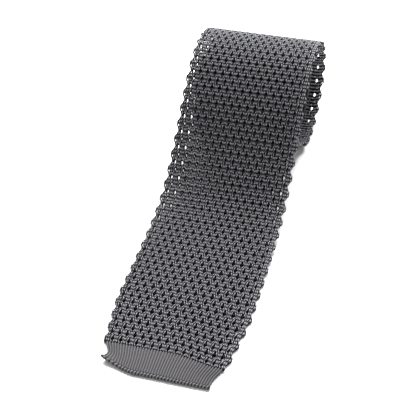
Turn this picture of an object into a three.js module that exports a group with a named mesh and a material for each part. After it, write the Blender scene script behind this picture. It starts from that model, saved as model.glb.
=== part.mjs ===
import * as THREE from 'three';

// A square-ended silk knit necktie, rolled up from its narrow end, with the wide end led off
// the top of the roll and laid flat in front of it. Millimetres, +Z up. X runs across the
// tie, -Y points to the square end, and the tie rests on the plane z = 0.
//
// The tie is a long flattened tube of knit. Its middle line is a route in the YZ plane:
// a flat run, a ramp up to the roll, and then a spiral wound inwards. Distances along the
// route are counted from the square end.

// ---- Driving dimensions ----
const THICKNESS = 2.2; // both layers of the flattened tube
const GAP = 0.3; // air between neighbouring pieces
const TOTAL_LENGTH = 1400;

// Lengths along the tie at which one piece ends and the next begins
const BAND_END = 15.5;
const FOLD_LINE = 108;
const CREST = 206;
const BLADE_END = 340;
const NECK_END = 900;
const TAIL_END = TOTAL_LENGTH - 17;
const JOIN_LENGTH = 1.5;
const EDGE_ROLL = 1.6; // the bound-off edge beyond each end band

// Widths of the tie at lengths along it
const WIDTHS = [
  [0, 50], [15.5, 57], [48, 65], [280, 65], [360, 61], [440, 53], [520, 45], [600, 40],
  [900, 40], [1000, 46], [TAIL_END, 46], [TOTAL_LENGTH, 42],
];
const NOMINAL_WIDTH = 65;
// How far the tie's middle lies to the right at lengths along it, as the inner turns are
// wound nearer to the right end of the roll
const DRIFTS = [
  [0, 0], [360, 0], [440, 0.5], [520, 3], [600, 3.5], [900, 3.5], [1000, 1.5], [TOTAL_LENGTH, 1.5],
];
const FOLDED_EDGE = 0.8; // how far the folded edges taper in

// Roll
const ROLL_RADIUS = 32.6; // mean radius of the middle line where the blade leaves the roll
const ROLL_LEAN = 0.073; // the roll is longer than round by this share along its lean
const LEAN_ANGLE = 167; // degrees from +Y towards +Z
const CREST_ANGLE = 126; // where the blade leaves the roll
const FIRST_TURN_PITCH = 3.2; // room for the keeper loop behind the first turn
const TURN_PITCH = 2.65;
const STEP_ANGLE = 15; // one facet of the roll

// Ramp, from the crest down: length of each stretch and the slope at its lower end, degrees.
// STEEP is the stretch whose length follows from the height of the crest.
const STEEP = 2;
const RAMP = [[10, 34], [24, 46], [34, 35], [18, 15], [16, 5], [46, 0]];
const RAMP_STEP = 6;

// Back seam, sunk in a groove along the middle of the back
const GROOVE_WIDTH = 3.2;
const GROOVE_DEPTH = 1.1;
const SEAM_WIDTH = 2.4;
const SEAM_THICKNESS = 0.7;

// Stay tape inside the neck, in a slit that opens at both ends
const TAPE_WIDTH = 10;
const TAPE_THICKNESS = 0.4;
const SLIT_WIDTH = 11;
const SLIT_THICKNESS = 1.0;

// Keeper loop across the back of the blade
const KEEPER_START = 252;
const KEEPER_LENGTH = 12;
const KEEPER_WIDTH = 36;
const KEEPER_THICKNESS = 0.4;
const TACK_WIDTH = 2;

const radians = THREE.MathUtils.degToRad;

// ---- Materials ----
function cloth(colour, roughness) {
  return new THREE.MeshStandardMaterial({ color: colour, roughness, metalness: 0 });
}
const meshKnit = cloth(0x58585b, 0.8);
const ribKnit = cloth(0x6a686a, 0.8);
const boundEdge = cloth(0x414043, 0.85);
const seamThread = cloth(0x333336, 0.7);
const satinRibbon = cloth(0x2c2c30, 0.5);
const wovenTape = cloth(0x26262a, 0.9);

// ---- Route ----

// A point on the spiral after turning by the given number of degrees from the crest.
function spiralPoint(turned) {
  const angle = radians(CREST_ANGLE - turned);
  const first = (Math.min(turned, 360) / 360) * FIRST_TURN_PITCH;
  const later = (Math.max(turned - 360, 0) / 360) * TURN_PITCH;
  const lean = 1 + ROLL_LEAN * Math.cos(2 * (angle - radians(LEAN_ANGLE)));
  const radius = (ROLL_RADIUS - first - later) * lean;
  return new THREE.Vector2(radius * Math.cos(angle), radius * Math.sin(angle));
}

// How far a stretch falls while its slope changes evenly from one angle to another.
function fallOver(length, from, to) {
  if (from === to) return length * Math.sin(from);
  return (length * (Math.cos(from) - Math.cos(to))) / (to - from);
}

// The spiral from the crest inwards, lifted so that its outer turn rests on the plane.
function makeSpiral() {
  const points = [spiralPoint(0)];
  let length = CREST;
  for (let turned = STEP_ANGLE; length < TOTAL_LENGTH + STEP_ANGLE; turned += STEP_ANGLE) {
    const next = spiralPoint(turned);
    length += next.distanceTo(points.at(-1));
    points.push(next);
  }
  const lowest = Math.min(...points.map((point) => point.y));
  return points.map((point) => new THREE.Vector2(point.x, point.y - lowest + THICKNESS / 2));
}

// The ramp and the flat run, from the crest to the square end.
function makeRun(crest, beforeCrest) {
  let slope = Math.atan2(crest.y - beforeCrest.y, beforeCrest.x - crest.x);
  slope = Math.abs(slope) + radians(STEP_ANGLE / 2);
  const stretches = RAMP.map(([length, end]) => ({ length, end: radians(end) }));
  let from = slope;
  let fall = 0;
  stretches.forEach((stretch, index) => {
    stretch.start = from;
    from = stretch.end;
    if (index !== STEEP) fall += fallOver(stretch.length, stretch.start, stretch.end);
  });
  const steep = stretches[STEEP];
  steep.length = (crest.y - THICKNESS / 2 - fall) / fallOver(1, steep.start, steep.end);
  const rampLength = stretches.reduce((sum, stretch) => sum + stretch.length, 0);
  stretches.push({ length: CREST - rampLength, start: 0, end: 0 });

  const points = [crest];
  for (const { length, start, end } of stretches) {
    const steps = Math.ceil(length / RAMP_STEP);
    for (let step = 0; step < steps; step++) {
      const heading = start + ((end - start) * (step + 0.5)) / steps;
      const last = points.at(-1);
      const stride = length / steps;
      const [back, down] = [stride * Math.cos(heading), stride * Math.sin(heading)];
      points.push(new THREE.Vector2(last.x - back, last.y - down));
    }
  }
  return points;
}

// Stations along the whole route, each with its length from the square end, its place and
// the direction of the tie's front face.
function makeRoute() {
  const spiral = makeSpiral();
  const run = makeRun(spiral[0], spiral[1]).reverse();
  const places = [...run, ...spiral.slice(1)];
  let length = 0;
  return places.map((place, index) => {
    const before = places[Math.max(index - 1, 0)];
    const after = places[Math.min(index + 1, places.length - 1)];
    if (index > 0) length += place.distanceTo(before);
    const along = after.clone().sub(before).normalize();
    return { length, place, front: new THREE.Vector2(-along.y, along.x) };
  });
}

const route = makeRoute();

// The station at any length, on the straight facet between its neighbours.
function stationAt(length) {
  const next = Math.max(route.findIndex((station) => station.length >= length), 1);
  const [a, b] = [route[next - 1], route[next]];
  const share = (length - a.length) / (b.length - a.length);
  return { length, place: a.place.clone().lerp(b.place, share), front: a.front.clone().lerp(b.front, share) };
}

function stationsBetween(from, to) {
  const inside = route.filter((station) => station.length > from + GAP && station.length < to - GAP);
  return [stationAt(from), ...inside, stationAt(to)];
}

// The value at a length, on the straight line between a table's neighbouring rows.
function tableAt(table, length) {
  const next = table.findIndex(([at]) => at >= length);
  if (next <= 0) return next === 0 ? table[0][1] : table.at(-1)[1];
  const [[fromLength, fromValue], [toLength, toValue]] = [table[next - 1], table[next]];
  return THREE.MathUtils.mapLinear(length, fromLength, toLength, fromValue, toValue);
}

// ---- Sections: x across the tie, y towards its front face ----
function outline(points) {
  return new THREE.Shape(points.map(([x, y]) => new THREE.Vector2(x, y)));
}

function rectangle(width, low, high, centre = 0) {
  return outline([
    [centre - width / 2, low], [centre + width / 2, low],
    [centre + width / 2, high], [centre - width / 2, high],
  ]);
}

// The flattened tube, with tapered folded edges and, where it is sewn, the seam's groove.
function tubeSection(grooved) {
  const edge = NOMINAL_WIDTH / 2;
  const face = edge - FOLDED_EDGE;
  const half = THICKNESS / 2;
  const groove = GROOVE_WIDTH / 2;
  const floor = GROOVE_DEPTH - half;
  const sewn = [[-groove, -half], [-groove, floor], [groove, floor], [groove, -half]];
  return outline([
    [-edge, 0], [-face, -half], ...(grooved ? sewn : []), [face, -half],
    [edge, 0], [face, half], [-face, half],
  ]);
}

function neckSection() {
  const section = tubeSection(false);
  section.holes.push(rectangle(SLIT_WIDTH, -SLIT_THICKNESS / 2, SLIT_THICKNESS / 2));
  return section;
}

// A section carried along the route: extruded straight, one step to a station, and then
// laid onto the stations. Points near the folded edges follow the width of the tie.
function along(section, from, to, taper) {
  const stations = stationsBetween(from, to);
  const steps = stations.length - 1;
  const geometry = new THREE.ExtrudeGeometry(section, { steps, depth: steps, bevelEnabled: false });
  const position = geometry.getAttribute('position');
  for (let index = 0; index < position.count; index++) {
    const { length, place, front } = stations[Math.round(position.getZ(index))];
    const x = position.getX(index);
    const rise = position.getY(index);
    const follows = taper && Math.abs(x) > NOMINAL_WIDTH / 4;
    const wider = follows ? (Math.sign(x) * (tableAt(WIDTHS, length) - NOMINAL_WIDTH)) / 2 : 0;
    const across = tableAt(DRIFTS, length) - (x + wider);
    position.setXYZ(index, across, place.x + front.x * rise, place.y + front.y * rise);
  }
  geometry.computeVertexNormals();
  return geometry;
}

const tie = new THREE.Group();
function add(name, geometry, material) {
  const mesh = new THREE.Mesh(geometry, material);
  mesh.name = name;
  tie.add(mesh);
}

function addTube(name, from, to, material) {
  add(name, along(tubeSection(true), from + GAP / 2, to - GAP / 2, true), material);
  const top = GROOVE_DEPTH - THICKNESS / 2 - GAP;
  const seam = rectangle(SEAM_WIDTH, top - SEAM_THICKNESS, top);
  add(`${name}_seam`, along(seam, from + GAP / 2, to - GAP / 2, false), seamThread);
}

function addJoin(name, at) {
  add(name, along(tubeSection(false), at + GAP / 2, at + JOIN_LENGTH - GAP / 2, true), seamThread);
}

// A bound-off edge: the last row of loops, rolled into a bar across the end of the tie.
function addBoundEdge(name, at, outwards) {
  const width = tableAt(WIDTHS, at);
  const bar = new THREE.CylinderGeometry(THICKNESS / 2, THICKNESS / 2, width, 12);
  bar.rotateZ(Math.PI / 2);
  bar.rotateX(Math.PI / 12);
  const { place, front } = stationAt(at);
  const reach = outwards * (GAP / 2 + THICKNESS / 2);
  bar.translate(tableAt(DRIFTS, at), place.x + front.y * reach, place.y - front.x * reach);
  add(name, bar, boundEdge);
}

// ---- The square end and the blade ----
addBoundEdge('bound_off_edge', EDGE_ROLL, -1);
addTube('end_band', EDGE_ROLL, BAND_END, ribKnit);
addTube('blade_flat', BAND_END, FOLD_LINE, meshKnit);
addTube('blade_ramp', FOLD_LINE, CREST, meshKnit);
addTube('blade_outer_turn', CREST, BLADE_END, meshKnit);

// ---- The keeper loop, sewn across the back of the blade ----
const keeperTop = -THICKNESS / 2 - GAP;
const keeperFoot = keeperTop - KEEPER_THICKNESS;
const keeperEnd = KEEPER_START + KEEPER_LENGTH;
const ribbon = rectangle(KEEPER_WIDTH, keeperFoot, keeperTop);
add('keeper_loop', along(ribbon, KEEPER_START, keeperEnd, false), satinRibbon);
for (const [name, side] of [['keeper_tack_left', 1], ['keeper_tack_right', -1]]) {
  const centre = side * (KEEPER_WIDTH / 2 + GAP + TACK_WIDTH / 2);
  const tack = rectangle(TACK_WIDTH, keeperFoot, keeperTop, centre);
  add(name, along(tack, KEEPER_START + 1, keeperEnd - 1, false), seamThread);
}

// ---- The neck and its stay tape ----
addJoin('blade_neck_join', BLADE_END);
const neckStart = BLADE_END + JOIN_LENGTH + GAP / 2;
add('neck_band', along(neckSection(), neckStart, NECK_END - GAP / 2, true), ribKnit);
const tape = rectangle(TAPE_WIDTH, -TAPE_THICKNESS / 2, TAPE_THICKNESS / 2);
add('neck_stay_tape', along(tape, neckStart, NECK_END - GAP / 2, false), wovenTape);
addJoin('neck_tail_join', NECK_END);

// ---- The tail, inside the roll ----
addTube('tail', NECK_END + JOIN_LENGTH, TAIL_END, meshKnit);
addTube('tail_end_band', TAIL_END, TOTAL_LENGTH, ribKnit);
addBoundEdge('tail_bound_off_edge', TOTAL_LENGTH, 1);

// The origin is on the plane the tie rests on, under the middle of its footprint.
const box = new THREE.Box3().setFromObject(tie);
tie.position.set(0, -(box.min.y + box.max.y) / 2, -box.min.z);

export default tie;
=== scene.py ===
"""A silk knit necktie, rolled up, with its square end led off the roll and laid flat.

The knit is real yarn: each course of the mesh is one closed ring of looped yarn round the
flattened tube, pushed open at the holes. The ribbed end band, the neck and the tail are
closed cloth surfaces with the relief of their stitches.

Distances along the tie are in millimetres from its square end, as in the CAD part.
"""

import logging
import math
from collections.abc import Callable
from dataclasses import dataclass
from enum import Enum

import bpy
import numpy as np
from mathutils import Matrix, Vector

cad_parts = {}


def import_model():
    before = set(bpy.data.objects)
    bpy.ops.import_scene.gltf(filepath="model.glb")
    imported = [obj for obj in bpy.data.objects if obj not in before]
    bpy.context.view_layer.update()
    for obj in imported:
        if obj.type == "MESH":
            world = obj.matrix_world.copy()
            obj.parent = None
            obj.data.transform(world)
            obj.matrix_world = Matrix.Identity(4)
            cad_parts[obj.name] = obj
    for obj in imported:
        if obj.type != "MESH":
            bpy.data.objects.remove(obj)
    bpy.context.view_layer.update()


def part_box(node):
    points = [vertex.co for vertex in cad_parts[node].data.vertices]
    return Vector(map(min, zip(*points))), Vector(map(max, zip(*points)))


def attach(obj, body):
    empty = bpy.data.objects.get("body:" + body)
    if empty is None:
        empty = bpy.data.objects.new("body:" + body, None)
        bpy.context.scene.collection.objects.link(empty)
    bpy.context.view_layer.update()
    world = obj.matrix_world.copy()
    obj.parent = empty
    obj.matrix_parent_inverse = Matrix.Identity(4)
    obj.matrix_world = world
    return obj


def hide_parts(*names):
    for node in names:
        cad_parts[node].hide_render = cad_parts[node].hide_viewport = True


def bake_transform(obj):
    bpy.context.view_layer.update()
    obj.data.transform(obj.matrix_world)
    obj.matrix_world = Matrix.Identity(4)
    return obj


LOG = logging.getLogger("knit_tie")
MM = 0.001

# A function that moves points, given and returned as (length, across, rise) in mm
Form = Callable[[np.ndarray, np.ndarray, np.ndarray], tuple[np.ndarray, np.ndarray, np.ndarray]]

# Lengths along the tie, as in the CAD part
EDGE_ROLL = 1.6
BAND_END = 15.5
CREST = 206.0
BLADE_END = 340.0
NECK_END = 900.0
TAIL_END = 1383.0
TOTAL_LENGTH = 1400.0
JOIN_LENGTH = 1.5
THICKNESS = 2.2
GAP = 0.3
BLADE_WIDTH = 65.0

# Rows of (length along the tie, width there), then of (length, drift to the right)
WIDTHS = (
    (0, 50), (BAND_END, 57), (48, BLADE_WIDTH), (280, BLADE_WIDTH), (360, 61), (440, 53),
    (520, 45), (600, 40), (900, 40), (1000, 46), (TAIL_END, 46), (TOTAL_LENGTH, 42),
)  # fmt: skip
DRIFTS = (
    (0, 0), (360, 0), (440, 0.5), (520, 3), (600, 3.5), (900, 3.5), (1000, 1.5),
    (1400, 1.5),
)  # fmt: skip

# Where one piece of the blade's knit passes to the next
FRONT_END = 63.0
FOLD_END = 143.0
CREST_END = 218.0
TURN_MIDDLE = 280.0


class Slot(str, Enum):
    """Names of the material slots."""

    MESH = "mesh_knit"
    RIB = "rib_knit"
    EDGE = "bound_edge"
    THREAD = "seam_thread"
    SATIN = "satin_ribbon"
    TAPE = "woven_tape"


# ---- Colour and nodes ----


def linear(hex_colour: str) -> tuple[float, float, float, float]:
    """Turns an sRGB hex colour into linear RGBA.

    Args:
        hex_colour: A hash and six digits.

    Returns:
        Red, green and blue by the sRGB curve, and an alpha of 1.
    """
    parts = [int(hex_colour[i : i + 2], 16) / 255 for i in (1, 3, 5)]
    low = [p / 12.92 if p <= 0.04045 else ((p + 0.055) / 1.055) ** 2.4 for p in parts]
    return (*low, 1.0)


def add_node(material: bpy.types.Material, kind: str, **inputs) -> bpy.types.Node:
    """Adds a node and sets or links its inputs.

    Args:
        material: The material whose node tree gets the node.
        kind: The node's type name.
        inputs: Attribute names in lower case, or input names with underscores for spaces.
            A socket value makes a link.

    Returns:
        The new node.
    """
    node = material.node_tree.nodes.new(kind)
    for name, value in inputs.items():
        if name[0].islower():
            setattr(node, name, value)
            continue
        key = name.replace("_", " ")
        socket = node.inputs[int(key[3:])] if key.startswith("In ") else node.inputs[key]
        if isinstance(value, bpy.types.NodeSocket):
            material.node_tree.links.new(value, socket)
        else:
            socket.default_value = value
    return node


@dataclass(frozen=True)
class YarnFinish:
    """How a yarn or cloth looks.

    Attributes:
        name: The finish's name.
        colour: Its main sRGB colour.
        shade: The painted shade's sRGB colour, deep in the cloth where little light reaches the
            fibres.
        roughness: How matt it is.
        specular: Strength of its gloss.
        sheen: Strength of the soft glow of silk fibres seen at a slant.
        sheen_roughness: How far that glow spreads.
        twist: Turns of the ply along one millimetre of yarn, or 0 for none.
        relief: Depth of the fine relief, in millimetres.
        lumps: Lumps of fibre along one millimetre of a finish without a ply.
        hidden: How far out of the cloth yarn is wholly in its painted shade, in mm.
        open: How far out it is wholly in its main colour, free of painted shade.
    """

    name: str
    colour: str
    shade: str
    roughness: float = 0.5
    specular: float = 0.12
    sheen: float = 0.03
    sheen_roughness: float = 0.35
    twist: float = 0.0
    relief: float = 0.05
    lumps: float = 0.9
    hidden: float = -0.3
    open: float = 0.5

    def build(self) -> bpy.types.Material:
        """Makes the node material of this finish.

        Its colour passes from the shade to the main colour with how far out of the cloth
        a point lies, which each piece keeps in an attribute: shade painted into the base colour,
        darkest deep in the cloth.

        Returns:
            The new material.
        """
        material = bpy.data.materials.new(self.name)
        material.use_nodes = True
        shader = material.node_tree.nodes["Principled BSDF"]
        links = material.node_tree.links
        # Painted shade: the base colour goes darker towards the shade colour deep in the cloth
        painted_shade_lift = add_node(
            material, "ShaderNodeAttribute", attribute_name="PaintedShadeLift"
        ).outputs["Fac"]
        shown = add_node(
            material, "ShaderNodeMapRange", interpolation_type="SMOOTHSTEP", Value=painted_shade_lift
        )
        shown.inputs["From Min"].default_value = self.hidden
        shown.inputs["From Max"].default_value = self.open
        mixed = add_node(
            material, "ShaderNodeMix", data_type="RGBA", Factor=shown.outputs[0]
        )
        mixed.inputs[6].default_value = linear(self.shade)
        mixed.inputs[7].default_value = linear(self.colour)
        links.new(mixed.outputs[2], shader.inputs["Base Color"])
        shader.inputs["Roughness"].default_value = self.roughness
        shader.inputs["Sheen Weight"].default_value = self.sheen
        shader.inputs["Sheen Roughness"].default_value = self.sheen_roughness
        shader.inputs["Specular IOR Level"].default_value = self.specular
        height = self._ply(material) if self.twist else self._mottle(material)
        bump = add_node(
            material,
            "ShaderNodeBump",
            Strength=1.0,
            Distance=self.relief * MM,
            Height=height,
        )
        links.new(bump.outputs["Normal"], shader.inputs["Normal"])
        return material

    def _mottle(self, material: bpy.types.Material) -> bpy.types.NodeSocket:
        """Height of plain cloth: small soft lumps of fibre.

        Args:
            material: The material that gets the nodes.

        Returns:
            The height's socket.
        """
        place = add_node(material, "ShaderNodeTexCoord").outputs["Object"]
        noise = add_node(
            material, "ShaderNodeTexNoise", Vector=place, Scale=self.lumps / MM, Detail=2.0
        )
        return noise.outputs["Fac"]

    def _ply(self, material: bpy.types.Material) -> bpy.types.NodeSocket:
        """Height of a yarn of two plies, from its own length-and-round map.

        It is the sine of the turns, which are the plies times the share of the way round
        the yarn, plus the twist times the length along it.

        Args:
            material: The material that gets the nodes.

        Returns:
            The height's socket.
        """
        yarn = add_node(material, "ShaderNodeUVMap", uv_map="Yarn").outputs["UV"]
        split = add_node(material, "ShaderNodeSeparateXYZ", Vector=yarn)
        along = add_node(
            material,
            "ShaderNodeMath",
            operation="MULTIPLY",
            In_0=split.outputs["X"],
            In_1=self.twist,
        )
        turns = add_node(
            material,
            "ShaderNodeMath",
            operation="MULTIPLY_ADD",
            In_0=split.outputs["Y"],
            In_1=2.0,
            In_2=along.outputs[0],
        )
        angle = add_node(
            material,
            "ShaderNodeMath",
            operation="MULTIPLY",
            In_0=turns.outputs[0],
            In_1=2 * math.pi,
        )
        return add_node(
            material, "ShaderNodeMath", operation="SINE", In_0=angle.outputs[0]
        ).outputs[0]


# Silk yarn of two plies, dyed charcoal grey, with a faint soft gloss along its ridges. Its main
# colour is a lighter grey, and painted shade darkens it to almost black where it lies deep in
# the open mesh
MESH_SILK = YarnFinish(
    "Silk mesh yarn", "#b0b0b7", "#020203", twist=1.1, hidden=0.22, open=0.86
)
# The same silk knitted as a fine rib: matt and a little warmer, with painted shade darkening its
# grooves
RIB_SILK = YarnFinish("Silk rib knit", "#595759", "#1c1c1e", hidden=-0.3, open=0.25)
# Its last row of loops, bound off and rolled over: a lighter line of slanted beads, with painted
# shade in the grooves between them
BOUND_SILK = YarnFinish("Silk bound-off edge", "#68676a", "#222223", hidden=-0.15, open=0.15)
# Spun polyester thread of the seams and joins: dark, dull and tightly twisted; in the joins
# painted shade darkens its grooves a little
SEWING_THREAD = YarnFinish("Sewing thread", "#2c2c30", "#1a1a1d", twist=1.5, relief=0.03)
# Woven satin ribbon of the keeper loop: dark, with a smooth and even shine
SATIN = YarnFinish(
    "Satin ribbon", "#26262a", "#1d1d20", roughness=0.3, specular=0.4, relief=0.01
)
# Woven cotton tape inside the neck: dark, with no gloss to speak of
WOVEN_TAPE = YarnFinish("Woven stay tape", "#1f1f22", "#161618", roughness=0.85)


# ---- The route of the tie ----


def table_at(table: tuple, length: np.ndarray) -> np.ndarray:
    """Reads a table between its rows, on straight lines.

    Args:
        table: Rows of (length, value).
        length: The lengths to read at.

    Returns:
        The value at each length.
    """
    at, value = np.array(table, float).T
    return np.interp(length, at, value)


@dataclass(frozen=True)
class Sag:
    """How the courses hang down towards the right corner of the square end, in mm.

    Attributes:
        drop: How far they would hang where the sag is whole.
        side: Distance right of the middle where it starts.
        span: Distance over which it would become whole.
        most: The share of it at which it stops.
        end: Length along the tie where it has gone.
        run: Length over which it goes.
    """

    drop: float = 4.2
    side: float = 6.0
    span: float = 19.0
    most: float = 0.9
    end: float = 87.0
    run: float = 67.0

    def at(self, length: np.ndarray, across: np.ndarray) -> np.ndarray:
        """What the sag adds to each length.

        It grows evenly to the right, and with the 1.5th power of the nearness to the
        square end.

        Args:
            length: Lengths along the tie, in mm.
            across: Distances across it.

        Returns:
            Distances along the tie, 0 or less.
        """
        near = np.clip((self.end - length) / self.run, 0, 1) ** 1.5
        right = np.clip((across - self.side) / self.span, 0, self.most)
        return -self.drop * right * near


SAG = Sag()


@dataclass(frozen=True)
class RollShape:
    """The driving dimensions of the roll and the ramp, as in the CAD part, in mm and degrees.

    Attributes:
        radius: The spiral's radius at the crest, before the lean.
        lean: How far the roll is pressed out of round, as a share.
        lean_angle: The direction in which it is widest.
        crest_angle: Where the blade leaves the roll.
        first_turn_pitch: How far the first turn winds inwards.
        turn_pitch: How far each later turn does.
        step_angle: The turn from one station of the spiral to the next.
        steep: Which stretch of the ramp takes up its height.
        ramp: Stretches of (length, slope at its end), down from the crest.
        ramp_step: The longest step between the ramp's stations.
        spare: Length of the spiral beyond the tie's end.
    """

    radius: float = 32.6
    lean: float = 0.073
    lean_angle: float = 167.0
    crest_angle: float = 126.0
    first_turn_pitch: float = 3.2
    turn_pitch: float = 2.65
    step_angle: float = 15.0
    steep: int = 2
    ramp: tuple = ((10, 34), (24, 46), (34, 35), (18, 15), (16, 5), (46, 0))
    ramp_step: float = 6.0
    spare: float = 15.0

    def spiral_point(self, turned: float) -> np.ndarray:
        """One point of the spiral.

        The radius shrinks evenly with the turn, and swells twice a turn with the cosine of
        twice the angle from the lean.

        Args:
            turned: Degrees turned inwards from the crest.

        Returns:
            The point as (y, z) from the roll's middle, in mm.
        """
        angle = math.radians(self.crest_angle - turned)
        first = min(turned, 360.0) / 360 * self.first_turn_pitch
        later = max(turned - 360.0, 0.0) / 360 * self.turn_pitch
        lean = 1 + self.lean * math.cos(2 * (angle - math.radians(self.lean_angle)))
        radius = (self.radius - first - later) * lean
        return np.array([radius * math.cos(angle), radius * math.sin(angle)])


class Route:
    """The middle line of the tie: a flat run, a ramp up to the crest, and a spiral inwards."""

    def __init__(self, shape: RollShape) -> None:
        """Repeats the CAD part's route and sets it on the CAD end band."""
        self.shape = shape
        spiral = self._spiral()
        run = self._run(spiral[0], spiral[1])[::-1]
        points = np.concatenate([run, spiral[1:]])
        steps = np.linalg.norm(np.diff(points, axis=0), axis=1)
        self.length = np.concatenate([[0.0], np.cumsum(steps)])
        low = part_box("end_band")[0]
        band_start = EDGE_ROLL + GAP / 2
        on_run = [np.interp(band_start, self.length, points[:, k]) for k in (0, 1)]
        on_band = [low.y / MM, low.z / MM + THICKNESS / 2]
        self.points = points + np.subtract(on_band, on_run)
        slope = np.empty_like(points)
        slope[1:-1] = self.points[2:] - self.points[:-2]
        slope[0] = self.points[1] - self.points[0]
        slope[-1] = self.points[-1] - self.points[-2]
        self.slope = slope / np.linalg.norm(slope, axis=1)[:, None]

    def _spiral(self) -> np.ndarray:
        """The spiral from the crest inwards, lifted so that its outer turn rests on the plane.

        Returns:
            Its stations as (y, z), in mm.
        """
        points = [self.shape.spiral_point(0)]
        length, turned = CREST, 0.0
        while length < TOTAL_LENGTH + self.shape.spare:
            turned += self.shape.step_angle
            points.append(self.shape.spiral_point(turned))
            length += float(np.linalg.norm(points[-1] - points[-2]))
        placed = np.array(points)
        placed[:, 1] += THICKNESS / 2 - placed[:, 1].min()
        return placed

    def _run(self, crest: np.ndarray, inside: np.ndarray) -> np.ndarray:
        """The ramp and the flat run, from the crest to the square end.

        Each stretch is an arc or a line, as its slope changes evenly from its start to its
        end, and the steep one is as long as the height needs.

        Args:
            crest: The spiral's first station.
            inside: Its second.

        Returns:
            The stations from the crest to the end as (y, z), in mm.
        """
        slope = abs(math.atan2(crest[1] - inside[1], inside[0] - crest[0]))
        slope += math.radians(self.shape.step_angle / 2)
        stretches, fall = [], 0.0
        for index, (length, end) in enumerate(self.shape.ramp):
            stretches.append([length, slope, math.radians(end)])
            slope = math.radians(end)
            if index != self.shape.steep:
                fall += length * self._fall(*stretches[-1][1:])
        steep = stretches[self.shape.steep]
        steep[0] = (crest[1] - THICKNESS / 2 - fall) / self._fall(*steep[1:])
        stretches.append([CREST - sum(s[0] for s in stretches), 0.0, 0.0])
        points = [crest]
        for length, start, end in stretches:
            steps = math.ceil(length / self.shape.ramp_step)
            for step in range(steps):
                heading = start + (end - start) * (step + 0.5) / steps
                stride = length / steps
                points.append(
                    points[-1]
                    - stride * np.array([math.cos(heading), math.sin(heading)])
                )
        return np.array(points)

    @staticmethod
    def _fall(start: float, end: float) -> float:
        """How far one millimetre falls while its slope changes evenly between two angles.

        Args:
            start: The slope at its start, in radians.
            end: The slope at its end.

        Returns:
            The mean of the slope's sine.
        """
        if start == end:
            return math.sin(start)
        return (math.cos(start) - math.cos(end)) / (end - start)

    def line(self, length: np.ndarray) -> tuple[np.ndarray, np.ndarray]:
        """Places and directions on the smooth middle line.

        A cubic between neighbouring stations keeps each station's place and direction, so
        the line is round where the CAD part has facets.

        Args:
            length: Lengths along the tie, of any array shape.

        Returns:
            Places and unit directions as (y, z) pairs, in millimetres.
        """
        inside = np.clip(length, self.length[0], self.length[-1])
        at = np.clip(
            np.searchsorted(self.length, inside, side="right") - 1,
            0,
            len(self.length) - 2,
        )
        span = self.length[at + 1] - self.length[at]
        f = ((inside - self.length[at]) / span)[..., None]
        span = span[..., None]
        p, q = self.points[at], self.points[at + 1]
        m, n = self.slope[at] * span, self.slope[at + 1] * span
        place = (
            (2 * f**3 - 3 * f**2 + 1) * p
            + (f**3 - 2 * f**2 + f) * m
            + (3 * f**2 - 2 * f**3) * q
            + (f**3 - f**2) * n
        )
        direction = (
            (6 * f**2 - 6 * f) * (p - q)
            + (3 * f**2 - 4 * f + 1) * m
            + (3 * f**2 - 2 * f) * n
        )
        direction = direction / np.linalg.norm(direction, axis=-1)[..., None]
        beyond = (length - inside)[..., None]
        return place + beyond * direction, direction

    def lay(self, length: np.ndarray, across: np.ndarray, rise: np.ndarray) -> np.ndarray:
        """Lays points of a flat strip onto the route.

        Args:
            length: Lengths along the tie.
            across: Distances across the tie, +X to the right.
            rise: Distances from the middle line towards the front face.

        Returns:
            Points in metres in the row frame, with a last axis of 3.
        """
        place, direction = self.line(length)
        y = place[..., 0] - direction[..., 1] * rise
        z = place[..., 1] + direction[..., 0] * rise
        return np.stack([across + table_at(DRIFTS, length) + 0 * y, y, z], -1) * MM


# ---- Meshes ----


def build_mesh(
    name: str, points: np.ndarray, quads: np.ndarray, yarn: np.ndarray | None = None
) -> bpy.types.Object:
    """Makes a smooth mesh object with its faces outward.

    Args:
        name: The piece's name.
        points: Vertex places in metres, any shape with a last axis of 3.
        quads: Four vertex numbers for each face.
        yarn: For yarn, (length in mm, turns round it) for each face corner.

    Returns:
        The new object, at the origin.
    """
    vertices = points.reshape(-1, 3)
    a, b, c, d = (vertices[quads[:, k]] for k in range(4))
    volume = np.einsum("ij,ij->i", a + c, np.cross(b - a, d - a)).sum()
    if volume < 0:
        quads = quads[:, ::-1]
        yarn = None if yarn is None else yarn[:, ::-1]
    mesh = bpy.data.meshes.new(name)
    mesh.vertices.add(len(vertices))
    mesh.vertices.foreach_set("co", vertices.astype(np.float32).ravel())
    mesh.loops.add(quads.size)
    mesh.loops.foreach_set("vertex_index", quads.astype(np.int32).ravel())
    mesh.polygons.add(len(quads))
    mesh.polygons.foreach_set("loop_start", np.arange(0, quads.size, 4, dtype=np.int32))
    mesh.polygons.foreach_set("use_smooth", np.ones(len(quads), bool))
    if yarn is not None:
        layer = mesh.uv_layers.new(name="Yarn")
        layer.data.foreach_set("uv", yarn.astype(np.float32).ravel())
    mesh.update(calc_edges=True)
    mesh.validate()
    built = bpy.data.objects.new(name, mesh)
    bpy.context.scene.collection.objects.link(built)
    return built


def note_painted_shade_lift(piece: bpy.types.Object, painted_shade_lift: np.ndarray) -> None:
    """Keeps how far out of the cloth each vertex lies, in mm, as the mask of the painted shade."""
    layer = piece.data.attributes.new("PaintedShadeLift", "FLOAT", "POINT")
    layer.data.foreach_set("value", painted_shade_lift.astype(np.float32).ravel())


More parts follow.
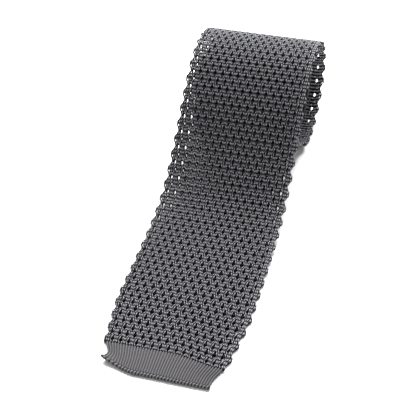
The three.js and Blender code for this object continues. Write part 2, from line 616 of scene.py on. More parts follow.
def closed_tube(
    name: str, points: np.ndarray, painted_shade_lift: np.ndarray
) -> bpy.types.Object:
    """Makes a tube from rows of vertices, closed flat at both ends.

    Args:
        name: The piece's name.
        points: Vertex places in metres, shape (rows, columns, 3); the columns go round.
        painted_shade_lift: How far out of the cloth each vertex lies, in mm.

    Returns:
        The tube as one object.
    """
    rows, columns = points.shape[:2]
    index = np.arange(rows * columns).reshape(rows, columns)
    beside = np.roll(index, -1, 1)
    wall = np.stack([index[:-1], beside[:-1], beside[1:], index[1:]], -1)
    k = np.arange(columns // 2 - 1)
    first = np.stack([index[0, k], index[0, -1 - k], index[0, -2 - k], index[0, k + 1]], -1)
    last = np.stack(
        [index[-1, k], index[-1, k + 1], index[-1, -2 - k], index[-1, -1 - k]], -1
    )
    quads = np.concatenate([wall.reshape(-1, 4), first, last])
    tube = build_mesh(name, points, quads)
    note_painted_shade_lift(tube, painted_shade_lift)
    return tube


def yarn_rings(
    name: str,
    centre: np.ndarray,
    outward: np.ndarray,
    lift: np.ndarray,
    size: tuple[np.ndarray | float, np.ndarray | float],
    sides: int,
) -> bpy.types.Object:
    """Sweeps a yarn with an oval cross-section along closed lines.

    Each line is one closed ring. The cross-section is set square to the line, with its
    first side towards the cloth's outward direction.

    Args:
        name: The piece's name.
        centre: Middle lines in metres, shape (rings, points, 3).
        outward: Outward directions of the cloth at the same points.
        lift: How far out of the cloth the lines count as lying, in mm, for the painted shade.
        size: Half the yarn's width and half its thickness, in mm.
        sides: Sides of its cross-section.

    Returns:
        The yarn as one object.
    """
    along = np.roll(centre, -1, 1) - np.roll(centre, 1, 1)
    along /= np.linalg.norm(along, axis=2, keepdims=True)
    side = np.cross(along, outward)
    side /= np.maximum(np.linalg.norm(side, axis=2, keepdims=True), 1e-9)
    up = np.cross(side, along)
    turn = 2 * math.pi * np.arange(sides) / sides
    wide, thick = (np.broadcast_to(s, lift.shape)[:, :, None, None] * MM for s in size)
    offset = thick * np.cos(turn)[:, None] * up[:, :, None]
    offset = offset + wide * np.sin(turn)[:, None] * side[:, :, None]
    ring = centre[:, :, None] + offset
    # How far out of the cloth each vertex lies, which sets its painted shade
    face = lift[..., None] + np.einsum("ijkl,ijl->ijk", offset, outward) / MM
    rings, count = centre.shape[:2]
    index = np.arange(rings * count * sides).reshape(rings, count, sides)
    ahead = np.roll(index, -1, 1)
    quads = np.stack(
        [index, np.roll(index, -1, 2), np.roll(ahead, -1, 2), ahead], -1
    ).reshape(-1, 4)
    step = np.linalg.norm(np.roll(centre, -1, 1) - centre, axis=2) / MM
    end = np.cumsum(step, axis=1)
    start = end - step
    rounds = np.arange(sides) / sides
    low, high = (np.repeat(s[:, :, None], sides, 2) for s in (start, end))
    r0 = np.broadcast_to(rounds, low.shape)
    r1 = r0 + 1 / sides
    yarn = np.stack(
        [
            np.stack([low, r0], -1),
            np.stack([low, r1], -1),
            np.stack([high, r1], -1),
            np.stack([high, r0], -1),
        ],
        -2,
    ).reshape(-1, 4, 2)
    rope = build_mesh(name, ring, quads, yarn)
    note_painted_shade_lift(rope, face)
    return rope


# ---- The section of the flattened tube ----


@dataclass(frozen=True)
class TubeSection:
    """The flattened tube's outline, as a loop of two straight layers and two round folds.

    Attributes:
        layer: Distance of each layer's middle surface from the tie's middle line.
        front: Wales on the front layer.
        back: Wales on the back layer.
    """

    layer: float
    front: int
    back: int

    def around(
        self, wale: np.ndarray, width: np.ndarray
    ) -> tuple[np.ndarray, np.ndarray, np.ndarray, np.ndarray]:
        """Places wales on the loop.

        The loop starts at the left fold, runs over the front layer to the right fold and
        comes back along the back layer. Each fold is half a turn of the layer distance's
        radius, and the wales are spread evenly along each layer.

        Args:
            wale: Wale numbers, wrapped round the loop.
            width: The width over the two folds, in mm.

        Returns:
            Across and rise in mm, and the outward direction's two parts.
        """
        total = self.front + self.back
        wale = np.mod(wale, total)
        behind = wale > self.front
        share = np.where(
            behind, (total - wale) / self.back, wale / self.front
        )  # 0 at the left fold, 1 at the right
        quarter = math.pi * self.layer / 2
        straight = width - 2 * self.layer
        arc = share * (straight + 2 * quarter)
        start = np.clip(arc / quarter, 0, 1) * math.pi / 2
        end = np.clip((arc - quarter - straight) / quarter, 0, 1) * math.pi / 2
        middle = np.clip(arc - quarter, 0, straight)
        across = -width / 2 + self.layer * (1 - np.cos(start)) + middle
        across = across + self.layer * np.sin(end)
        out_x = -np.cos(start) + np.sin(end)
        out_r = np.sin(start) + np.cos(end) - 1
        size = np.hypot(out_x, out_r)
        out_x, out_r = out_x / size, out_r / size
        flip = np.where(behind, -1.0, 1.0)
        return across, flip * self.layer * out_r, out_x, flip * out_r


# ---- The open mesh knit ----


@dataclass(frozen=True)
class MeshStitch:
    """One stitch of the mesh, and how its holes open. Millimetres.

    Attributes:
        course: Distance from one course to the next.
        lead: Where the first course lies, in courses from the start of the mesh.
        height: How far a loop reaches above and below its course, in courses.
        bulge: How far a loop's sides bulge beyond its neck, in wales.
        depth: How far the yarn weaves in and out of the cloth.
        wide: Half the yarn's width.
        thick: Half its thickness.
        back_height: The loops' reach on the back layer, in courses.
        back_wide: Half the yarn's width on the tighter, flatter back layer.
        back_thick: Half its thickness there.
        back_shift: How far the back layer's loops are set along the tie, in courses.
        turn: Wales at each fold over which the yarn changes from front to back.
        spread: How much wider than the CAD tube the mesh is between its scallops.
        scallop: How far a fold swings out at one row of holes, and in at the next.
        scallop_from: Where the scallop starts, as a share of the width from the middle.
        hole: How far yarn is pushed sideways from the middle of a hole.
        tall: How much taller than wide a hole is.
        reach: How far sideways from its middle a hole pushes yarn.
        stagger: How far every other row of holes is set aside, in wales.
        fold_open: How open the holes of every other row stay behind a fold, as a share.
        fold_reach: Wales behind a fold at which they have closed.
        shut: Holes whose middle is nearer to a fold than this are shut, in wales.
        whole: Holes whose middle is farther from it than this are whole, in wales.
        hole_wale: Where the first hole is, in wales from the left fold.
        hole_course: Where its row is, in courses.
        segments: Straight steps of one stitch.
        sides: Sides of the yarn's cross-section.
    """

    course: float = 2.18
    lead: float = 0.84
    height: float = 0.78
    bulge: float = 0.15
    depth: float = -0.42
    wide: float = 0.27
    thick: float = 0.24
    back_height: float = 0.53
    back_wide: float = 0.53
    back_thick: float = 0.11
    back_shift: float = 0.5
    turn: float = 1.5
    spread: float = 2.4
    scallop: float = 0.9
    scallop_from: float = 0.34
    hole: float = 1.35
    tall: float = 1.2
    reach: float = 2.6
    stagger: float = -0.69
    fold_open: float = 0.42
    fold_reach: float = 4.5
    shut: float = 0.3
    whole: float = 0.9
    hole_wale: float = 1.81
    hole_course: float = 0.5
    segments: int = 8
    sides: int = 5


class MeshKnit:
    """The tie's open mesh as looped yarn."""

    def __init__(self, route: Route, section: TubeSection, stitch: MeshStitch) -> None:
        """Keeps the route, the section and the stitch."""
        self.route = route
        self.section = section
        self.stitch = stitch

    def build(self, name: str, start: float, end: float) -> bpy.types.Object:
        """Knits the mesh between two lengths along the tie.

        A course's yarn is a loop curve: it rises and falls with the cosine of one turn to a
        wale, and its sides swing by the sine of two turns, which gives each loop its neck.
        The yarn widens over the last wales before a fold, and thins behind it. Near a fold
        a cosine with one turn to every two rows of holes pushes the loops sideways, which
        scallops the edge.

        Args:
            name: The piece's name.
            start: Length at which the first course lies.
            end: Length before which the last course lies.

        Returns:
            The yarn as one object.
        """
        s = self.stitch
        first = math.ceil((start - BAND_END) / s.course - s.lead)
        last = math.ceil((end - BAND_END) / s.course - s.lead)
        course = np.arange(first, last)[:, None]
        wales = self.section.front + self.section.back
        phase = np.arange(wales * s.segments)[None, :] / s.segments
        wale = phase + s.bulge * np.sin(4 * math.pi * phase) + 0 * course
        before = np.clip(self._behind(phase) / s.turn + 1, 0, 1)
        behind = np.clip(self._behind(phase) / s.turn, 0, 1)
        height = s.height + (s.back_height - s.height) * behind
        rows = course + height * np.cos(2 * math.pi * phase) + s.back_shift * behind
        lift = s.depth * np.cos(4 * math.pi * phase) + 0 * course
        wale, rows = self._open_holes(wale, rows)
        length = BAND_END + (rows + s.lead) * s.course
        width = table_at(WIDTHS, length) - 2 * (s.thick + abs(s.depth)) + s.spread
        across, rise, out_x, out_r = self.section.around(wale, width)
        share = np.abs(across) / width
        beside = np.clip((share - s.scallop_from) / (0.5 - s.scallop_from), 0, 1)
        wave = np.cos(math.pi * (rows - s.hole_course) / 2)
        across = across - s.scallop * beside * wave
        length = length + SAG.at(length, across)
        centre = self.route.lay(length, across + out_x * lift, rise + out_r * lift)
        deeper = self.route.lay(
            length, across + out_x * (lift + 1), rise + out_r * (lift + 1)
        )
        outward = (deeper - centre) / MM
        wide = s.wide + (s.back_wide - s.wide) * before
        thick = s.thick + (s.back_thick - s.thick) * behind
        # The back layer's thinner yarn is lifted by the difference in thickness, so that its
        # painted shade reaches as far as the front's
        shown = lift + s.thick - thick
        return yarn_rings(name, centre, outward, shown, (wide, thick), s.sides)

    def _open_holes(
        self, wale: np.ndarray, rows: np.ndarray
    ) -> tuple[np.ndarray, np.ndarray]:
        """Pushes the yarn out of the holes.

        A hole lies at every other wale of every other course, and every other row of
        holes is set aside by the stagger. A point at distance r from a hole's middle moves
        out to the root of r squared plus the hole's size squared, fading to nothing at the
        hole's reach. The back layer is closed but for every other row's holes behind a
        fold, and no hole lies on a fold.

        Args:
            wale: Wale numbers of the yarn's points.
            rows: Their course numbers.

        Returns:
            The wale and course numbers after the push.
        """
        s = self.stitch
        front, back = self.section.front, self.section.back
        pitch = BLADE_WIDTH / front
        behind = self._behind(wale)
        kept_open = s.fold_open * np.clip(s.fold_reach - behind, 0, 1)
        is_back = wale > front
        scale = np.where(is_back, -front / back, 1.0)
        column_at = np.where(is_back, (wale - front - back) * scale, wale)
        push_wale, push_rows = np.zeros_like(wale), np.zeros_like(wale)
        nearest = np.round((rows - s.hole_course) / 2)
        for up in (-1, 0, 1):
            line = nearest + up
            is_odd = np.mod(line, 2)
            aside = is_odd * s.stagger + s.hole_wale
            openness = 1 - (1 - is_odd * kept_open) * np.clip(behind + 0.5, 0, 1)
            column = np.round((column_at - aside) / 2)
            for beside in (-1, 0, 1):
                centre = aside + 2 * (column + beside)
                inside = np.minimum(centre, front - centre)
                x = (column_at - centre) * pitch
                y = (rows - s.hole_course - 2 * line) * s.course
                r = np.maximum(np.hypot(x, y / s.tall), 1e-3)
                push = np.sqrt(r**2 + s.hole**2) - r
                push = push * np.clip(1 - (r / s.reach) ** 2, 0, 1) / r * openness
                push = push * np.clip((inside - s.shut) / (s.whole - s.shut), 0, 1)
                push_wale += x * push / pitch
                push_rows += y * push / s.course
        return wale + push_wale / scale, rows + push_rows

    def _behind(self, wale: np.ndarray) -> np.ndarray:
        """How many wales a point of the back layer is from the nearer fold; negative in front."""
        total = self.section.front + self.section.back
        return np.minimum(wale - self.section.front, total - wale)


# ---- Closed cloth: ribs, ribbons, seams ----


@dataclass(frozen=True)
class RibStitch:
    """The relief of a fine knit.

    Attributes:
        ribs: Ribs on each layer of the tube.
        samples: Vertices across one rib.
        step: Distance between rows of vertices, in mm.
        depth: Height of a rib over its groove, in mm.
        course: Length of one stitch, in mm.
        stitch: Height of a stitch's waist over its ends, in mm.
        lean: How far the sides of a stitch trail behind its middle, in stitches.
        stagger: How far neighbouring ribs are set along each other, in stitches.
    """

    ribs: int
    samples: int
    step: float
    depth: float
    course: float
    stitch: float
    lean: float = 0.35
    stagger: float = 0.0

    def lift(self, rib: np.ndarray, length: np.ndarray) -> np.ndarray:
        """Height of the relief: a cosine ridge for each rib, with stitches shaped like a V.

        Args:
            rib: Places across the tube, in ribs.
            length: Lengths along the tie, in mm.

        Returns:
            Heights in mm, from the middle of the relief.
        """
        aside = 2 * np.abs(np.mod(rib, 1) - 0.5)
        ridge = 0.5 + 0.5 * np.cos(math.pi * aside)
        phase = length / self.course - self.lean * aside
        phase = phase + self.stagger * np.mod(np.floor(rib), 2)
        bead = 0.5 + 0.5 * np.cos(2 * math.pi * phase)
        return self.depth * (ridge - 0.5) + self.stitch * (bead - 0.5) * ridge


class ClothTube:
    """Lays closed, flattened tubes of fine knit on the route."""

    def __init__(self, route: Route) -> None:
        """Keeps the route."""
        self.route = route

    def build(
        self,
        name: str,
        start: float,
        end: float,
        stitch: RibStitch,
        layer: float = 0.6,
        width: float | None = None,
        offset: float = 0.0,
        form: Form | None = None,
    ) -> bpy.types.Object:
        """Builds one tube.

        Its outline is the flattened tube's, lifted by the relief of its stitches.

        Args:
            name: The piece's name.
            start: Length along the tie where it starts.
            end: Length where it ends.
            stitch: Its relief.
            layer: Distance of each layer from the tube's middle, in mm.
            width: Its width in mm, or None for the tie's own width.
            offset: How far its middle is from the tie's middle line, in mm.
            form: What moves its points before they are laid, or None.

        Returns:
            The tube as one object.
        """
        section = TubeSection(layer, stitch.ribs, stitch.ribs)
        rows = max(2, math.ceil((end - start) / stitch.step) + 1)
        length = np.linspace(start, end, rows)[:, None]
        around = 2 * stitch.ribs * stitch.samples
        rib = (np.arange(around)[None, :] + 0.5) / stitch.samples
        lift = stitch.lift(rib, length)
        wide = table_at(WIDTHS, length) if width is None else width + 0 * length
        across, rise, out_x, out_r = section.around(rib + 0 * length, wide - stitch.depth)
        across = across + out_x * lift
        rise = rise + out_r * lift + offset
        length = length + 0 * across
        if form is not None:
            length, across, rise = form(length, across, rise)
        # The relief's height also sets the painted shade, darkest in its grooves
        return closed_tube(name, self.route.lay(length, across, rise), lift)


@dataclass(frozen=True)
class Stitching:
    """Sewn threads laid on the route.

    Attributes:
        route: The route of the tie.
        radius: The thread's radius, in mm.
        weave: How far the thread passes over and under itself, in mm.
        steps: Straight steps of one zigzag.
        sides: Sides of the thread.
    """

    route: Route
    radius: float = 0.16
    weave: float = 0.12
    steps: int = 8
    sides: int = 6

    def build(
        self,
        name: str,
        start: float,
        end: float,
        rise: float,
        reach: float,
        pitch: float,
        centre: float = 0.0,
    ) -> bpy.types.Object:
        """Builds a seam of one thread that zigzags out and back, crossing itself.

        The thread swings with the cosine of one turn to a zigzag, on one side going out
        and on the other coming back, and rises and dips with the sine of two turns.

        Args:
            name: The piece's name.
            start: Length along the tie where it starts.
            end: Length where it ends.
            rise: Distance from the middle line of the tie.
            reach: How far it swings to either side.
            pitch: Length of one zigzag.
            centre: Its middle across the tie.

        Returns:
            The thread as one object.
        """
        count = math.ceil((end - start) / pitch) * self.steps
        out = np.linspace(start, end, count + 1)
        length = np.concatenate([out, out[-2:0:-1]])[None, :]
        going = np.arange(length.shape[1])[None, :] <= count
        turns = (length - start) / pitch
        side = np.where(going, 1.0, -1.0)
        lift = self.weave * side * np.sin(4 * math.pi * turns)
        across = centre + reach * side * np.cos(2 * math.pi * turns)
        line = self.route.lay(length, across, rise + lift)
        deeper = self.route.lay(length, across, rise + lift - 1)
        # A lift of 1 mm keeps the thread wholly in its main colour, without painted shade
        painted_shade_lift = np.ones_like(length)
        size = (self.radius, self.radius)
        return yarn_rings(name, line, (deeper - line) / MM, painted_shade_lift, size, self.sides)


@dataclass(frozen=True)
class BoundEdge:
    """A bound-off edge: a round bar of slanted stitches across the tie. Millimetres.

    Attributes:
        route: The route of the tie.
        radius: The bar's middle radius.
        swell: How far its radius swells at a stitch.
        stitch: Length of one stitch along the bar.
        taper: Length over which it shrinks to nothing at each end.
        least: The radius left at each end, squared, as a share.
        stations: Rings of vertices along it.
        sides: Vertices in a ring.
    """

    route: Route
    radius: float = 0.86
    swell: float = 0.2
    stitch: float = 1.55
    taper: float = 1.0
    least: float = 0.0004
    stations: int = 420
    sides: int = 14

    def build(
        self, name: str, at: float, width: float, form: Form | None = None
    ) -> bpy.types.Object:
        """Builds the bar.

        Its radius swells once to a stitch, along a slant, and shrinks as a quarter circle
        over the taper.

        Args:
            name: The piece's name.
            at: Length along the tie.
            width: The bar's length.
            form: What moves its points before they are laid, or None.

        Returns:
            The bar as one object.
        """
        across = np.linspace(-width / 2, width / 2, self.stations)[:, None]
        turn = (np.arange(self.sides)[None, :] + 0.5) * 2 * math.pi / self.sides
        bead = np.cos(2 * math.pi * across / self.stitch + turn)
        past = np.clip((np.abs(across) - width / 2) / self.taper + 1, 0, 1)
        ends = np.sqrt(np.clip(1 - past**2, self.least, 1))
        radius = (self.radius + self.swell * bead) * ends
        length = at + radius * np.cos(turn)
        rise = radius * np.sin(turn)
        across = across + 0 * turn
        if form is not None:
            length, across, rise = form(length, across, rise)
        # The swell of each bead also sets the painted shade, dark between the beads
        return closed_tube(name, self.route.lay(length, across, rise), self.swell * bead)


# ---- Studio ----


@dataclass(frozen=True)
class Studio:
    """The floor, the light and the camera.

    Attributes:
        azimuth: The camera's direction round the tie, in degrees.
        elevation: Its height above the horizon, in degrees.
        distance: Its distance from the target, in mm.
        target: The point that it looks at, in mm.
        lens: Focal length on a 36 mm sensor.
        sky: Strength of the white surround.
        key: Power of the large light, in watts.
        key_place: Where it is, in mm.
        key_size: Its diameter, in mm.
        floor: Half the floor's side, in metres.
    """

    azimuth: float = 14.6
    elevation: float = 37.6
    distance: float = 567.0
    target: tuple = (-1.9, -18.7, 21.0)
    lens: float = 96.3
    sky: float = 0.55
    key: float = 45.0
    key_place: tuple = (-130, 680, 690)
    key_size: float = 1100.0
    floor: float = 20.0

    def build(self) -> None:
        """Makes the floor, the light and the camera."""
        self._floor()
        self._light()
        self._camera()

    def _floor(self) -> None:
        """A plain white floor."""
        corner = np.array([[-1, -1, 0], [1, -1, 0], [1, 1, 0], [-1, 1, 0]]) * self.floor
        mesh = bpy.data.meshes.new("studio_floor")
        mesh.from_pydata(corner.tolist(), [], [(0, 1, 2, 3)])
        floor = bpy.data.objects.new("studio_floor", mesh)
        bpy.context.scene.collection.objects.link(floor)
        paint = bpy.data.materials.new("White studio floor")
        paint.use_nodes = True
        shader = paint.node_tree.nodes["Principled BSDF"]
        shader.inputs["Base Color"].default_value = linear("#f8f8f8")
        shader.inputs["Roughness"].default_value = 0.9
        shader.inputs["Specular IOR Level"].default_value = 0.1
        mesh.materials.append(paint)

    def _light(self) -> None:
        """A large soft light above and behind the roll, and an even white surround."""
        world = bpy.data.worlds.new("White surround")
        world.use_nodes = True
        sky = world.node_tree.nodes["Background"]
        sky.inputs["Color"].default_value = (1, 1, 1, 1)
        sky.inputs["Strength"].default_value = self.sky
        bpy.context.scene.world = world
        bpy.context.scene.view_settings.view_transform = "Standard"
        data = bpy.data.lights.new("soft_key", "AREA")
        data.shape = "DISK"
        data.size = self.key_size * MM
        data.energy = self.key
        lamp = bpy.data.objects.new("soft_key", data)
        lamp.location = Vector(self.key_place) * MM
        lamp.rotation_mode = "QUATERNION"
        aim = Vector((0, 0, 10)) * MM - lamp.location
        lamp.rotation_quaternion = aim.to_track_quat("-Z", "Y")
        bpy.context.scene.collection.objects.link(lamp)

    def _camera(self) -> None:
        """The scene's camera."""
        a, e = math.radians(self.azimuth), math.radians(self.elevation)
        back = Vector(
            (math.sin(a) * math.cos(e), -math.cos(a) * math.cos(e), math.sin(e))
        )
        data = bpy.data.cameras.new("camera")
        data.lens = self.lens
        data.sensor_width = 36.0
        data.clip_start = 0.01
        camera = bpy.data.objects.new("camera", data)
        camera.location = (Vector(self.target) + back * self.distance) * MM
        camera.rotation_mode = "QUATERNION"
        camera.rotation_quaternion = back.to_track_quat("Z", "Y")
        bpy.context.scene.collection.objects.link(camera)
        bpy.context.scene.camera = camera


# ---- The tie ----


def finish_piece(
    piece: bpy.types.Object,
    finish: bpy.types.Material,
    nodes: tuple[str, ...],
) -> bpy.types.Object:
    """Gives a piece its finish and hides the CAD nodes that it stands for.

    Args:
        piece: The piece.
        finish: Its material.
        nodes: The CAD nodes' names.

    Returns:
        The same piece.
    """
    piece.data.materials.append(finish)
    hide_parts(*nodes)
    return piece


@dataclass(frozen=True)
class Bend:
    """A bend of the cloth between two bodies, from one length along the tie to another."""

    first: str
    second: str
    start: float
    end: float

    def apply(self, piece: bpy.types.Object, route: Route) -> None:
        """Bakes the piece's place into its mesh; the piece is not bent or set on the bodies."""
        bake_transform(piece)


CURL = Bend("flat", "band", 28.0, 4.0)
FOLD = Bend("flat", "ramp", 93.0, 125.0)
TOP = Bend("ramp", "roll", 193.0, 219.0)


@dataclass(frozen=True)
class BladePart:
    """One piece of the blade.

    Attributes:
        name: The piece's name within the blade.
        start: Length along the tie where it starts, in mm.
        end: Length where it ends.
        nodes: The CAD nodes that it stands for.
        bend: Where it bends, or None where it rides on the roll.
        held: How its cloth is held; not used.
        under: What it lies on; not used.
    """

    name: str
    start: float
    end: float
    nodes: tuple[str, ...]
    bend: Bend | None
    held: str
    under: str


class Blade:
    """The blade's open mesh and its back seam, in pieces split where the cloth bends."""

    TURN = ("blade_outer_turn",)
    PARTS = (
        BladePart("front", BAND_END, FRONT_END, ("blade_flat",), CURL, "laid", "studio_floor"),
        BladePart(
            "fold", FRONT_END, FOLD_END, ("blade_flat", "blade_ramp"), FOLD, "laid", "studio_floor"
        ),
        BladePart(
            "crest", FOLD_END, CREST_END, ("blade_ramp", *TURN), TOP, "draped", "neck_rib"
        ),
        BladePart("back", CREST_END, TURN_MIDDLE, TURN, None, "folded", "neck_rib"),
        BladePart("under", TURN_MIDDLE, BLADE_END, TURN, None, "folded", "studio_floor"),
    )
    SEAM_START = 2.5
    SEAM_RISE = -0.8
    SEAM_REACH = 0.9
    SEAM_PITCH = 3.0

    def __init__(self, route: Route) -> None:
        """Keeps the route, the knit and the finishes."""
        self.route = route
        self.knit = MeshKnit(route, TubeSection(0.5, 31, 32), MeshStitch())
        self.silk = MESH_SILK.build()
        self.thread = SEWING_THREAD.build()

    def build(self) -> list[bpy.types.Object]:
        """Knits the blade's pieces and sews them; those that ride on the roll are set on its body.
        """
        return [piece for part in self.PARTS for piece in self._part(part)]

    def _part(self, part: BladePart) -> list[bpy.types.Object]:
        """Builds one piece of the mesh and the seam on its back.

        The first seam starts inside the end band, for which it stands as well.

        Args:
            part: The piece.

        Returns:
            The mesh and the seam.
        """
        knit = self.knit.build(f"blade_{part.name}_mesh", part.start, part.end)
        finish_piece(knit, self.silk, part.nodes)
        start, seams = part.start, tuple(f"{node}_seam" for node in part.nodes)
        if start == BAND_END:
            start, seams = self.SEAM_START, (*seams, "end_band_seam")
        seam = Stitching(self.route).build(
            f"blade_{part.name}_seam",
            start,
            part.end,
            self.SEAM_RISE,
            self.SEAM_REACH,
            self.SEAM_PITCH,
        )
        finish_piece(seam, self.thread, seams)
        for piece in (knit, seam):
            if part.bend is None:
                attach(piece, "roll")
            else:
                part.bend.apply(piece, self.route)
        return [knit, seam]


@dataclass(frozen=True)
class SquareEnd:
    """The ribbed band across the square end, and its bound-off edge. Millimetres.

    Attributes:
        route: The route of the tie.
        rib: The band's stitch.
        layer: Distance of each of its layers from its middle.
        start: Length along the tie where the band starts, inside the edge.
        overlap: How far it reaches under the mesh.
        edge_at: Length along the tie of the bound-off edge.
        edge_width: Its length across the tie.
        waist: How far the sides draw in halfway down the band, as a share.
        corner_rise: How far the edge is set back towards its left corner.
        corner_span: Where that starts left of the middle, and over how much it grows.
        edge_drop: How far the edge drops right of the middle.
        drop_span: Distance over which it does.
        curl_span: Where the corner's curl starts left of the middle, and its width.
        curl_from: The share down the band where the curl starts.
        curl_in: How far the curled corner comes in.
        curl_up: How far it comes up.
    """

    route: Route
    rib: RibStitch = RibStitch(42, 8, 0.25, 0.45, 0.95, 0.16)
    layer: float = 0.6
    start: float = 1.3
    overlap: float = 0.6
    edge_at: float = 0.35
    edge_width: float = 51.5
    waist: float = 0.02
    corner_rise: float = 5.5
    corner_span: tuple = (10, 15)
    edge_drop: float = 0.3
    drop_span: float = 10.0
    curl_span: tuple = (17, 8)
    curl_from: float = 0.55
    curl_in: float = 2.0
    curl_up: float = 1.4

    def form(
        self, length: np.ndarray, across: np.ndarray, rise: np.ndarray
    ) -> tuple[np.ndarray, np.ndarray, np.ndarray]:
        """Sets the band on the sagging mesh, draws its sides in and curls up its left corner.

        The share down the band runs from 0 at the mesh to 1 at the bound-off edge. The
        curl is a smooth step to the left times the square of the share past its start,
        and the waist is the square of half a sine down the band.

        Args:
            length: Lengths along the tie.
            across: Distances across it.
            rise: Distances from its middle line.

        Returns:
            The three after the move.
        """
        down = np.clip((BAND_END - length) / (BAND_END - self.edge_at), 0, 1)
        left = np.clip((-across - self.curl_span[0]) / self.curl_span[1], 0, 1)
        low = np.clip((down - self.curl_from) / (1 - self.curl_from), 0, 1)
        curl = (left * left * (3 - 2 * left)) * low * low
        waist = 1 - self.waist * np.sin(math.pi * down) ** 2
        corner = np.clip((-across - self.corner_span[0]) / self.corner_span[1], 0, 1) ** 1.5
        drop = np.clip(across / self.drop_span, 0, 1)
        edge = self.corner_rise * corner - self.edge_drop * drop
        length = length + down * edge + (1 - down) * SAG.at(length, across)
        across = across * waist - self.curl_in * curl
        return length, across, rise + self.curl_up * curl

    def build(self) -> list[bpy.types.Object]:
        """Builds the band and its edge, and returns them."""
        end = BAND_END + self.overlap
        band = ClothTube(self.route).build(
            "end_band_rib", self.start, end, self.rib, self.layer, form=self.form
        )
        finish_piece(band, RIB_SILK.build(), ("end_band",))
        edge = BoundEdge(self.route).build(
            "square_end_bound_edge", self.edge_at, self.edge_width, self.form
        )
        finish_piece(edge, BOUND_SILK.build(), ("bound_off_edge",))
        for piece in (band, edge):
            CURL.apply(piece, self.route)
        return [band, edge]


@dataclass(frozen=True)
class Neck:
    """The ribbed neck with its stay tape, and the joins at its two ends. Millimetres.

    Attributes:
        route: The route of the tie.
        rib: The neck's stitch.
        layer: Distance of each of its layers from its middle.
        join: The joins' stitch.
        join_layer: Distance of a join's layers from its middle.
        plain: The tape's plain surface.
        tape_width: The tape's width.
        tape_layer: Half its thickness.
    """

    route: Route
    rib: RibStitch = RibStitch(30, 4, 2.4, 0.35, 1.0, 0.0)
    layer: float = 0.7
    join: RibStitch = RibStitch(24, 4, 0.3, 0.2, 1.5, 0.1)
    join_layer: float = 0.8
    plain: RibStitch = RibStitch(4, 4, 3.0, 0.0, 1.0, 0.0)
    tape_width: float = 10.0
    tape_layer: float = 0.2

    def build(self) -> list[bpy.types.Object]:
        """Builds the neck, its tape and its joins, and returns them."""
        cloth = ClothTube(self.route)
        start = BLADE_END + JOIN_LENGTH
        neck = cloth.build("neck_rib", start, NECK_END, self.rib, self.layer)
        finish_piece(neck, RIB_SILK.build(), ("neck_band",))
        tape = cloth.build(
            "neck_tape", start, NECK_END, self.plain, self.tape_layer, self.tape_width
        )
        finish_piece(tape, WOVEN_TAPE.build(), ("neck_stay_tape",))
        thread = SEWING_THREAD.build()
        pieces = [neck, tape]
        for name, at in (("blade_neck_join", BLADE_END), ("neck_tail_join", NECK_END)):
            join = cloth.build(
                f"{name}_thread", at, at + JOIN_LENGTH, self.join, self.join_layer
            )
            finish_piece(join, thread, (name,))
            pieces.append(join)
        for piece in pieces:
            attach(piece, "roll")
        return pieces


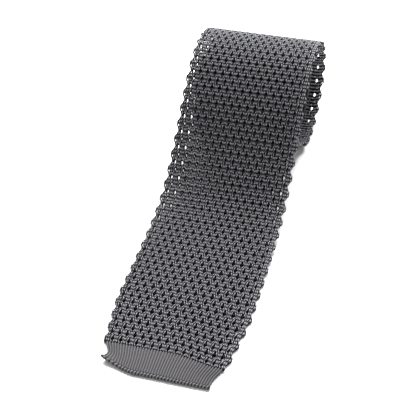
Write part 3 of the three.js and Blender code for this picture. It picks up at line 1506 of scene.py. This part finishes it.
@dataclass(frozen=True)
class Tail:
    """The narrow end inside the roll. Millimetres.

    Attributes:
        route: The route of the tie.
        mesh: The relief of its mesh, whose holes are drawn as hollows darkened by painted shade.
        layer: Distance of the mesh's layers from its middle.
        rib: Its end band's stitch.
        band_layer: Distance of the band's layers from its middle.
        edge_past: How far past the band the bound-off edge lies.
        edge_width: That edge's length across the tie.
        seam_rise: Distance of the back seam from the middle line.
        seam_reach: How far its thread swings to either side.
        seam_pitch: Length of one of its zigzags.
    """

    route: Route
    mesh: RibStitch = RibStitch(22, 4, 1.05, 0.4, 4.2, 0.4, 0.0, 0.5)
    layer: float = 0.7
    rib: RibStitch = RibStitch(28, 6, 0.4, 0.45, 0.95, 0.12)
    band_layer: float = 0.65
    edge_past: float = 1.25
    edge_width: float = 43.0
    seam_rise: float = -0.9
    seam_reach: float = 0.9
    seam_pitch: float = 3.0

    def build(self) -> list[bpy.types.Object]:
        """Builds the tail, its band, its bound-off edge and its seam, and returns them."""
        cloth = ClothTube(self.route)
        start = NECK_END + JOIN_LENGTH
        tail = cloth.build("tail_mesh", start, TAIL_END, self.mesh, self.layer)
        finish_piece(tail, MESH_SILK.build(), ("tail",))
        band = cloth.build(
            "tail_band_rib", TAIL_END, TOTAL_LENGTH, self.rib, self.band_layer
        )
        finish_piece(band, RIB_SILK.build(), ("tail_end_band",))
        edge = BoundEdge(self.route).build(
            "tail_bound_edge", TOTAL_LENGTH + self.edge_past, self.edge_width
        )
        finish_piece(edge, BOUND_SILK.build(), ("tail_bound_off_edge",))
        seam = Stitching(self.route).build(
            "tail_back_seam",
            start,
            TOTAL_LENGTH,
            self.seam_rise,
            self.seam_reach,
            self.seam_pitch,
        )
        nodes = ("tail_seam", "tail_end_band_seam")
        finish_piece(seam, SEWING_THREAD.build(), nodes)
        pieces = [tail, band, edge, seam]
        for piece in pieces:
            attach(piece, "roll")
        return pieces


@dataclass(frozen=True)
class KeeperLoop:
    """The satin loop across the back of the blade, with a tack at each end. Millimetres.

    Attributes:
        route: The route of the tie.
        start: Length along the tie where it starts.
        length: The ribbon's width, which lies along the tie.
        width: Its length, which lies across.
        rise: Distance from the middle line, towards the front.
        layer: Half the ribbon's thickness.
        satin: Its smooth surface.
        tack_inset: How far the tacks stay inside the ribbon's edges.
        tack_out: How far beyond its ends they lie.
        tack_reach: How far a tack's thread swings to either side.
        tack_pitch: Length of one of its zigzags.
    """

    route: Route
    start: float = 252.0
    length: float = 12.0
    width: float = 36.0
    rise: float = -1.6
    layer: float = 0.2
    satin: RibStitch = RibStitch(6, 8, 1.0, 0.0, 1.0, 0.0)
    tack_inset: float = 1.0
    tack_out: float = 1.3
    tack_reach: float = 0.8
    tack_pitch: float = 1.0

    def build(self) -> list[bpy.types.Object]:
        """Builds the ribbon and its tacks, and returns them."""
        end = self.start + self.length
        ribbon = ClothTube(self.route).build(
            "keeper_ribbon", self.start, end, self.satin, self.layer, self.width, self.rise
        )
        finish_piece(ribbon, SATIN.build(), ("keeper_loop",))
        thread = SEWING_THREAD.build()
        pieces = [ribbon]
        for name, side in (("keeper_tack_left", -1), ("keeper_tack_right", 1)):
            tack = Stitching(self.route).build(
                f"{name}_thread",
                self.start + self.tack_inset,
                end - self.tack_inset,
                self.rise,
                self.tack_reach,
                self.tack_pitch,
                side * (self.width / 2 + self.tack_out),
            )
            finish_piece(tack, thread, (name,))
            pieces.append(tack)
        for piece in pieces:
            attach(piece, "roll")
        return pieces


def main() -> None:
    """Builds the looks of the tie round its CAD part, and reports each piece."""
    logging.basicConfig(level=logging.INFO, format="%(message)s")
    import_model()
    route = Route(RollShape())
    for part in (Blade, SquareEnd, Neck, Tail, KeeperLoop):
        for piece in part(route).build():
            LOG.info("%s: %s, %d faces", part.__name__, piece.name, len(piece.data.polygons))
    Studio().build()


if __name__ == "__main__":
    main()
